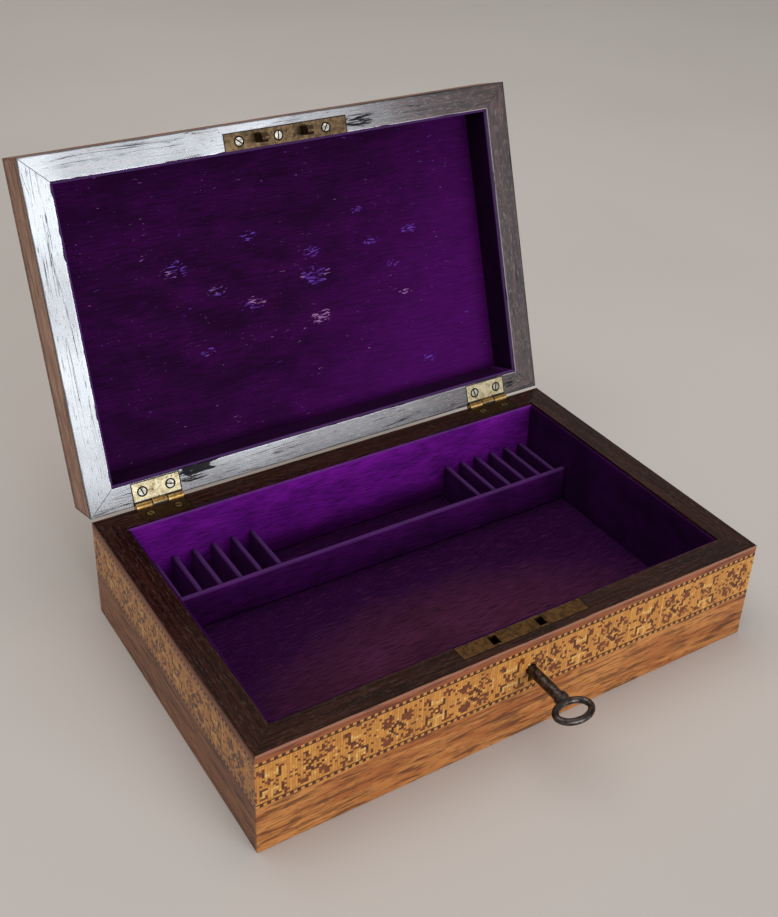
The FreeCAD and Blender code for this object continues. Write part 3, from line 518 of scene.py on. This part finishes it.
def hinge_parts(finish, tilt):
    """The knuckles of a hinge, and the painted shade between them and along the root of its leaf."""
    low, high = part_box("right_hinge_pin")
    off_middle = (finish.axis("X").size() - (low.x + high.x) / 2).size()
    beyond = finish.axis("Y", tilt) - (HINGE_PLACE.y - KNUCKLE)
    between = (off_middle - CENTRE_KNUCKLE / 2).size().below(KNUCKLE_SEAM) * beyond.above(0.0)
    return beyond.above(0.0), between.larger(beyond.size().below(ROOT_SEAM))


def metal(name, bright, dull, tarnish, roughness, soiled=0.5, hinge_tilt=None):
    """Old metal with a film and spots of tarnish; a hinge leaf has a tilt, and painted shade at its
    knuckles.
    """
    finish = Finish(name, metallic=1.0)
    film = finish.cloud((420, 420, 420), 0.0, 7, 0.4)
    spots = finish.cloud((900, 900, 900), 0.0, 4)
    scratches = finish.cloud((300, 5200, 5200), 0.0, 2)
    colour = finish.mix(film.ramp(0.34, 0.7), bright, dull)
    colour = finish.mix(spots.ramp(0.54, 0.72) * soiled, colour, tarnish)
    if hinge_tilt is not None:
        knuckles, seams = hinge_parts(finish, hinge_tilt)
        colour = finish.mix(knuckles, colour, finish.mix(film.ramp(0.34, 0.7), *KNUCKLE_BRASS))
        # Painted shade in the gaps between the knuckles and along the leaf's root.
        colour = finish.mix(seams, colour, KNUCKLE_GAP_SHADE)
        finish.feed("Metallic", 1 - seams)
    finish.feed("Base Color", colour)
    finish.feed("Roughness", roughness + film * 0.22 + spots.ramp(0.54, 0.72) * 0.15)
    finish.bump(scratches, 0.08, METAL_SCRATCH)
    return finish.material


def slotted(name, head_plane, way, tilt, bright, dull):
    """Screw head whose slot, below the head's face, holds grime and painted shade."""
    finish = Finish(name, metallic=1.0)
    film = finish.cloud((700, 700, 700), 0.0, 5)
    slot = ((finish.axis("Z", tilt) - head_plane) * way).above(SLOT_FLOOR)
    colour = finish.mix(film.ramp(0.35, 0.7), bright, dull)
    # The slot is painted dark: grime and painted shade.
    finish.feed("Base Color", finish.mix(slot, colour, SLOT_GRIME_AND_SHADE))
    finish.feed("Roughness", 0.26 + film * 0.2 + slot * 0.5)
    finish.feed("Metallic", 1 - slot)
    return finish.material


RIM_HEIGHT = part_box("front_rim")[1].z
LID_RIM_HEIGHT = shut_box("lid_front_rim")[0].z
FRONT_WOOD = figured_wood(
    "rosewood_front", "X", tint(196, 128, 66), tint(164, 94, 44), tint(72, 36, 18), strip=True)
SIDE_WOOD = figured_wood(
    "rosewood_side", "Y", tint(158, 100, 60), tint(128, 76, 46), tint(68, 38, 24), strip=True)
LID_WOOD = figured_wood(
    "rosewood_lid", "X", tint(150, 92, 56), tint(120, 68, 42), tint(60, 32, 20), LID_OPEN)
LID_SIDE_WOOD = figured_wood(
    "rosewood_lid_side", "Y", tint(190, 142, 114), tint(160, 110, 84), tint(92, 58, 44), LID_OPEN)
CARCASE = figured_wood("carcase_wood", "X", tint(176, 132, 88), tint(150, 106, 68), tint(104, 70, 44))
BOX_SEATS = [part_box(node) for node in ("lock_case", "left_hinge_body_leaf", "right_hinge_body_leaf")]
LID_SEATS = [shut_box(node) for node in ("link_plate", "left_hinge_lid_leaf", "right_hinge_lid_leaf")]
BOX_RIM = {
    "tilt": 0.0, "seats": BOX_SEATS, "ground": (tint(28, 11, 8), tint(60, 29, 21)),
    "shine": tint(255, 222, 196), "density": 1.5, "torn": tint(30, 10, 26), "wear": 0.2, "gloss": 0.05,
    "edge_width": 0.28 * MM, "broken": False}
LID_RIM = {
    "tilt": LID_OPEN, "seats": LID_SEATS, "ground": (tint(46, 26, 26), tint(86, 56, 50)),
    "shine": tint(222, 240, 255), "density": 1.95, "torn": tint(30, 18, 20), "wear": 0.85, "gloss": 1.0,
    "edge_width": 0.7 * MM, "broken": True}
# The pale edge colours of the box's rims are partly rubbed wear and partly a painted highlight along the
# edge.
RIM_LONG = polished_rim("dark_rim_long", "X", tint(156, 106, 84), **BOX_RIM)
RIM_SHORT = polished_rim("dark_rim_short", "Y", tint(96, 62, 46), **BOX_RIM)
LID_RIM_LONG = polished_rim("lid_rim_long", "X", tint(34, 20, 18), **LID_RIM)
LID_RIM_SHORT = polished_rim("lid_rim_short", "Y", tint(34, 20, 18), **LID_RIM)
MOSAIC_LONG = mosaic("mosaic_long", "X")
MOSAIC_SHORT = mosaic("mosaic_short", "Y")
WALL_VELVET = velvet("velvet_wall", (tint(34, 2, 44), tint(58, 6, 74)))
# Painted light: the back lining is a brighter copy of the wall velvet, where the light falls on it.
LIT_BACK_VELVET = velvet(
    "velvet_back_painted_light", (tint(84, 8, 108), tint(124, 20, 150)), crest=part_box("back_lining")[1].z)
FLOOR_VELVET = velvet(
    "velvet_floor", (tint(70, 30, 54), tint(94, 44, 76)), unfaded_and_shaded=tint(48, 6, 62))
DIVIDER_VELVET = velvet(
    "velvet_divider", (tint(54, 6, 66), tint(86, 14, 102)), crest=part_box("tray_divider")[1].z)
RIB_VELVET = velvet(
    "velvet_ribs", (tint(40, 5, 52), tint(68, 12, 84)), crest=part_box("left_tray_ribs")[1].z, run="Y")
# Painted shade: the lid's wall lining is a darker copy of the panel velvet.
SHADED_LID_WALL_VELVET = velvet(
    "velvet_lid_wall_painted_shade", (tint(20, 1, 24), tint(36, 3, 42)), LID_OPEN, crest=shut_box("lid_wall_lining")[0].z)
PANEL_VELVET = velvet("velvet_panel", (tint(34, 2, 40), tint(56, 4, 64)), LID_OPEN, 0.8)
LID_LEAF_BRASS = metal(
    "lid_leaf_brass", tint(168, 155, 126), tint(136, 120, 90), tint(74, 56, 36), 0.3, 0.6, LID_OPEN)
# Painted shade: the body's hinge leaves are a darker copy of the hinge brass, standing for shade and the
# dark lid reflected in them.
SHADED_BODY_LEAF_BRASS = metal(
    "body_leaf_brass_painted_shade", tint(94, 72, 44), tint(70, 50, 30), tint(40, 28, 20), 0.36, 0.7, 0.0)
LOCK_BRASS = metal("lock_brass", tint(132, 96, 58), tint(86, 62, 39), tint(44, 32, 23), 0.34, 0.7)
LINK_BRASS = metal("link_brass", tint(98, 78, 56), tint(70, 55, 40), tint(44, 33, 25), 0.36, 0.6)
SPRING_STEEL = metal("spring_steel", tint(150, 152, 156), tint(110, 112, 116), tint(74, 66, 60), 0.3)
KEY_IRON = metal("key_iron", tint(100, 92, 89), tint(54, 46, 43), tint(32, 24, 22), 0.3, 0.7)
BODY_SCREW = slotted("body_screw_brass", RIM_HEIGHT, -1, 0.0, tint(190, 166, 116), tint(146, 122, 78))
LID_SCREW = slotted("lid_screw_steel", LID_RIM_HEIGHT, 1, LID_OPEN, tint(150, 144, 134), tint(104, 98, 88))
LOCK_SCREW = metal("lock_screw_brass", tint(190, 164, 110), tint(150, 124, 80), tint(88, 66, 40), 0.3)

SIDE_LOOKS = {
    "front": (FRONT_WOOD, MOSAIC_LONG, RIM_LONG), "back": (FRONT_WOOD, MOSAIC_LONG, RIM_LONG),
    "left": (SIDE_WOOD, MOSAIC_SHORT, RIM_SHORT), "right": (SIDE_WOOD, MOSAIC_SHORT, RIM_SHORT)}
LOOKS = {
    "base_board": CARCASE, "lid_top_board": LID_WOOD, "lock_case": LOCK_BRASS, "lock_cap": LOCK_BRASS,
    "lock_pins": SPRING_STEEL, "lock_bolt": LOCK_BRASS, "bolt_spring": SPRING_STEEL,
    "lock_screws": LOCK_SCREW, "body_hinge_screws": BODY_SCREW, "lid_hinge_screws": LID_SCREW,
    "link_screws": LID_SCREW, "link_plate": LINK_BRASS, "link_staples": LINK_BRASS, "key": KEY_IRON}
for side, (wood, band, rim) in SIDE_LOOKS.items():
    LOOKS[f"{side}_wall"] = CARCASE
    LOOKS[f"{side}_veneer"] = wood
    LOOKS[f"{side}_mosaic_band"] = band
    LOOKS[f"{side}_rim"] = rim
    LOOKS[f"lid_{side}_rail"] = CARCASE
    LOOKS[f"lid_{side}_veneer"] = LID_WOOD if wood is FRONT_WOOD else LID_SIDE_WOOD
    LOOKS[f"lid_{side}_rim"] = LID_RIM_LONG if rim is RIM_LONG else LID_RIM_SHORT
for end in ("left", "right"):
    LOOKS[f"{end}_hinge_body_leaf"] = SHADED_BODY_LEAF_BRASS
    LOOKS[f"{end}_hinge_lid_leaf"] = LID_LEAF_BRASS
    LOOKS[f"{end}_hinge_pin"] = LOCK_SCREW
for node, look in LOOKS.items():
    NODES[node].data.materials.clear()
    NODES[node].data.materials.append(look)


# Velvet pieces

SAME_PLACE = 0.001 * MM
EDGE_SEGMENTS = 3
PILE_CELL = 6 * MM
DIPS_PER_METRE = 60
WALL_UNEVEN = 0.25 * MM
FLOOR_UNEVEN = 0.3 * MM
DIVIDER_UNEVEN = 0.15 * MM
RIB_UNEVEN = 0.12 * MM
DIVIDER_ROUND = 1.3 * MM
RIB_ROUND = 1.1 * MM
PANEL_ROUND = 0.7 * MM
LID_WALL_ROUND = 0.4 * MM


def soft_board(mesh, low, high, round_by, segments, cell):
    """Covered board with rounded edges, cut fine enough to be uneven."""
    made = bmesh.ops.create_cube(mesh, size=1.0)["verts"]
    extent = high - low
    bmesh.ops.scale(mesh, vec=extent, verts=made)
    bmesh.ops.translate(mesh, vec=(low + high) / 2, verts=made)
    edges = list({edge for vertex in made for edge in vertex.link_edges})
    bmesh.ops.bevel(
        mesh, geom=edges, offset=round_by, offset_type="OFFSET", segments=segments, profile=0.5,
        affect="EDGES", material=-1)
    for axis in range(3):
        for index in range(1, int(extent[axis] / cell)):
            plane = low.copy()
            plane[axis] += index * cell
            normal = Vector((0, 0, 0))
            normal[axis] = 1
            bmesh.ops.bisect_plane(
                mesh, geom=mesh.verts[:] + mesh.edges[:] + mesh.faces[:], plane_co=plane, plane_no=normal)


def velvet_piece(name, boxes, node, body, look, uneven, turn=None, round_by=0.5 * MM):
    """Soft boards that stand for a node, sunk here and there by up to the uneven depth."""
    mesh = bmesh.new()
    for low, high in boxes:
        soft_board(mesh, low, high, round_by, EDGE_SEGMENTS, PILE_CELL)
    bmesh.ops.remove_doubles(mesh, verts=mesh.verts, dist=SAME_PLACE)
    bmesh.ops.recalc_face_normals(mesh, faces=mesh.faces)
    mesh.normal_update()
    for vertex in mesh.verts:
        vertex.co -= vertex.normal * uneven * (0.5 + 0.5 * noise.noise(vertex.co * DIPS_PER_METRE))
    if turn:
        bmesh.ops.transform(mesh, matrix=turn, verts=mesh.verts)
    data = bpy.data.meshes.new(name)
    mesh.to_mesh(data)
    mesh.free()
    for face in data.polygons:
        face.use_smooth = True
    data.materials.append(look)
    piece = bpy.data.objects.new(name, data)
    bpy.context.scene.collection.objects.link(piece)
    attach(piece, body)
    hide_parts(node)
    return piece


RIBS = 6
RIB_THICKNESS = 2.5 * MM
LID_LINING = 1.2 * MM
for side in ("front", "back", "left", "right"):
    pile = LIT_BACK_VELVET if side == "back" else WALL_VELVET
    velvet_piece(f"{side}_velvet", [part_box(f"{side}_lining")], f"{side}_lining", "box", pile, WALL_UNEVEN)
floor = velvet_piece(
    "floor_velvet", [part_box("floor_lining")], "floor_lining", "box", FLOOR_VELVET, FLOOR_UNEVEN)
velvet_piece(
    "divider_velvet", [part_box("tray_divider")], "tray_divider", "box", DIVIDER_VELVET, DIVIDER_UNEVEN,
    round_by=DIVIDER_ROUND)
for end in ("left", "right"):
    low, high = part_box(f"{end}_tray_ribs")
    pitch = (high.x - low.x - RIB_THICKNESS) / (RIBS - 1)
    row = []
    for index in range(RIBS):
        start = low.x + index * pitch
        row.append((Vector((start, low.y, low.z)), Vector((start + RIB_THICKNESS, high.y, high.z))))
    velvet_piece(
        f"{end}_ribs_velvet", row, f"{end}_tray_ribs", "box", RIB_VELVET, RIB_UNEVEN, round_by=RIB_ROUND)
panel = velvet_piece(
    "panel_velvet", [shut_box("lid_velvet_panel")], "lid_velvet_panel", "lid", PANEL_VELVET, FLOOR_UNEVEN,
    OPENING, PANEL_ROUND)
low, high = shut_box("lid_wall_lining")
front, back = low.y + LID_LINING, high.y - LID_LINING
left, right = low.x + LID_LINING, high.x - LID_LINING
strips = [
    (low, Vector((high.x, front, high.z))),
    (Vector((low.x, back, low.z)), high),
    (Vector((low.x, front, low.z)), Vector((left, back, high.z))),
    (Vector((right, front, low.z)), Vector((high.x, back, high.z)))]
velvet_piece(
    "lid_wall_velvet", strips, "lid_wall_lining", "lid", SHADED_LID_WALL_VELVET, DIVIDER_UNEVEN, OPENING,
    LID_WALL_ROUND)


# Grime and painted shade in the seams round the screw heads

SCREW_HEAD = 2.1 * MM
SEAM = 0.7 * MM
SEAM_SEGMENTS = 28
PROUD = 0.02 * MM
GRIME_TINTS = (tint(22, 15, 10), tint(46, 34, 22))


def screw_heads(node, turn, facing):
    """Middle of each head's face; the facing is 1 where heads look up and -1 where they look down."""
    mesh = bmesh.new()
    mesh.from_mesh(NODES[node].data)
    bmesh.ops.remove_doubles(mesh, verts=mesh.verts, dist=SAME_PLACE)
    waiting = set(mesh.verts)
    heads = []
    while waiting:
        island, edge_of_search = set(), [waiting.pop()]
        while edge_of_search:
            vertex = edge_of_search.pop()
            island.add(vertex)
            for edge in vertex.link_edges:
                other = edge.other_vert(vertex)
                if other in waiting:
                    waiting.discard(other)
                    edge_of_search.append(other)
        points = [turn @ vertex.co for vertex in island]
        middle = [(min(p[axis] for p in points) + max(p[axis] for p in points)) / 2 for axis in (0, 1)]
        face = max(p.z * facing for p in points) * facing
        heads.append(Vector((*middle, face + PROUD * facing)))
    mesh.free()
    return heads


def seam_rings(name, node, body, facing, shut, open_again):
    """A flat ring of grime and painted shade over the edge of each screw head of a node."""
    mesh = bmesh.new()
    for head in screw_heads(node, shut, facing):
        circle = bmesh.ops.create_circle(
            mesh, cap_ends=True, radius=SCREW_HEAD + SEAM / 2, segments=SEAM_SEGMENTS)["verts"]
        disc = circle[0].link_faces[0]
        ring = bmesh.ops.inset_region(mesh, faces=[disc], thickness=SEAM, use_boundary=True)["faces"]
        bmesh.ops.delete(mesh, geom=[disc], context="FACES")
        corners = list({vertex for face in ring for vertex in face.verts})
        bmesh.ops.translate(mesh, vec=head, verts=corners)
    for face in mesh.faces:
        if face.normal.z * facing < 0:
            face.normal_flip()
    bmesh.ops.transform(mesh, matrix=open_again, verts=mesh.verts)
    data = bpy.data.meshes.new(name)
    mesh.to_mesh(data)
    mesh.free()
    data.materials.append(SEAM_GRIME_AND_SHADE)
    rings = bpy.data.objects.new(name, data)
    bpy.context.scene.collection.objects.link(rings)
    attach(rings, body)


def seam_grime_and_shade():
    finish = Finish("seam_grime_and_shade", roughness=0.8, specular_ior_level=0.1)
    # Dark ring colour: grime and painted shade in the seam.
    finish.feed("Base Color", finish.mix(
        finish.cloud((900, 900, 900), 0.0, 4).ramp(0.35, 0.65), *GRIME_TINTS))
    return finish.material


SEAM_GRIME_AND_SHADE = seam_grime_and_shade()
STAY = Matrix.Identity(4)
seam_rings("body_hinge_seams", "body_hinge_screws", "box", 1, STAY, STAY)
seam_rings("lid_hinge_seams", "lid_hinge_screws", "lid", -1, SHUTTING, OPENING)
seam_rings("link_seams", "link_screws", "lid", -1, SHUTTING, OPENING)


# Floor, light and camera

FLOOR_REACH = 6
FLOOR_DROP = 0.2 * MM
FLOOR_TINTS = (tint(222, 216, 211), tint(210, 203, 197))
MIDDLE = (0.0, 0.0, 0.06)
DAYLIGHT = (0.87, 0.94, 1.0)
WARM_WHITE = (1.0, 0.97, 0.94)
AIR_STRENGTH = 0.3


def studio_floor():
    mesh = bmesh.new()
    bmesh.ops.create_grid(mesh, x_segments=4, y_segments=4, size=FLOOR_REACH)
    bmesh.ops.translate(mesh, vec=(0, 0, -FLOOR_DROP), verts=mesh.verts)
    data = bpy.data.meshes.new("studio_floor")
    mesh.to_mesh(data)
    mesh.free()
    finish = Finish("pale_floor", roughness=0.9, specular_ior_level=0.1)
    finish.feed("Base Color", finish.mix(finish.cloud((3, 3, 3), 0.0, 3), *FLOOR_TINTS))
    data.materials.append(finish.material)
    ground = bpy.data.objects.new("studio_floor", data)
    bpy.context.scene.collection.objects.link(ground)


def soft_lamp(name, place, width, height, watts, colour, spread):
    """Rectangular lamp aimed at the middle of the box; its spread is in degrees."""
    lamp = bpy.data.lights.new(name, "AREA")
    lamp.shape = "RECTANGLE"
    lamp.size, lamp.size_y = width, height
    lamp.energy = watts
    lamp.color = colour
    lamp.spread = math.radians(spread)
    stand = bpy.data.objects.new(name, lamp)
    stand.location = place
    stand.rotation_euler = (Vector(MIDDLE) - Vector(place)).to_track_quat("-Z", "Y").to_euler()
    bpy.context.scene.collection.objects.link(stand)


studio_floor()
soft_lamp("front_window", (0.56, -2.9, 0.66), width=2.3, height=1.24, watts=19.6, colour=DAYLIGHT, spread=95)
soft_lamp("top_panel", (-0.25, 0.25, 1.7), width=1.6, height=1.6, watts=12.5, colour=WARM_WHITE, spread=180)
world = bpy.data.worlds.new("studio_air")
world.use_nodes = True
air = world.node_tree.nodes["Background"].inputs
air["Color"].default_value = (*WARM_WHITE, 1.0)
air["Strength"].default_value = AIR_STRENGTH
bpy.context.scene.world = world

# The image is 778 by 917; the sensor's width goes with its long side.
IMAGE = (778, 917)
FOCAL_PIXELS = 1258.87
OPTICAL_MIDDLE = (387.69, 396.7)
SENSOR_WIDTH = 36
CAMERA_PLACE = (-0.2525, -0.35562, 0.37114)
CAMERA_AXES = ((0.8484, -0.5283, 0.0324), (0.2439, 0.4445, 0.8619), (-0.4698, -0.7234, 0.5060))
lens = bpy.data.cameras.new("photo_camera")
lens.sensor_width = SENSOR_WIDTH
lens.lens = FOCAL_PIXELS * SENSOR_WIDTH / max(IMAGE)
lens.shift_x = (IMAGE[0] / 2 - OPTICAL_MIDDLE[0]) / max(IMAGE)
lens.shift_y = (OPTICAL_MIDDLE[1] - IMAGE[1] / 2) / max(IMAGE)
lens.clip_start = 0.01
camera = bpy.data.objects.new("photo_camera", lens)
camera.matrix_world = Matrix.Translation(CAMERA_PLACE) @ Matrix(CAMERA_AXES).transposed().to_4x4()
bpy.context.scene.collection.objects.link(camera)
bpy.context.scene.camera = camera
bpy.context.scene.view_settings.view_transform = "Standard"
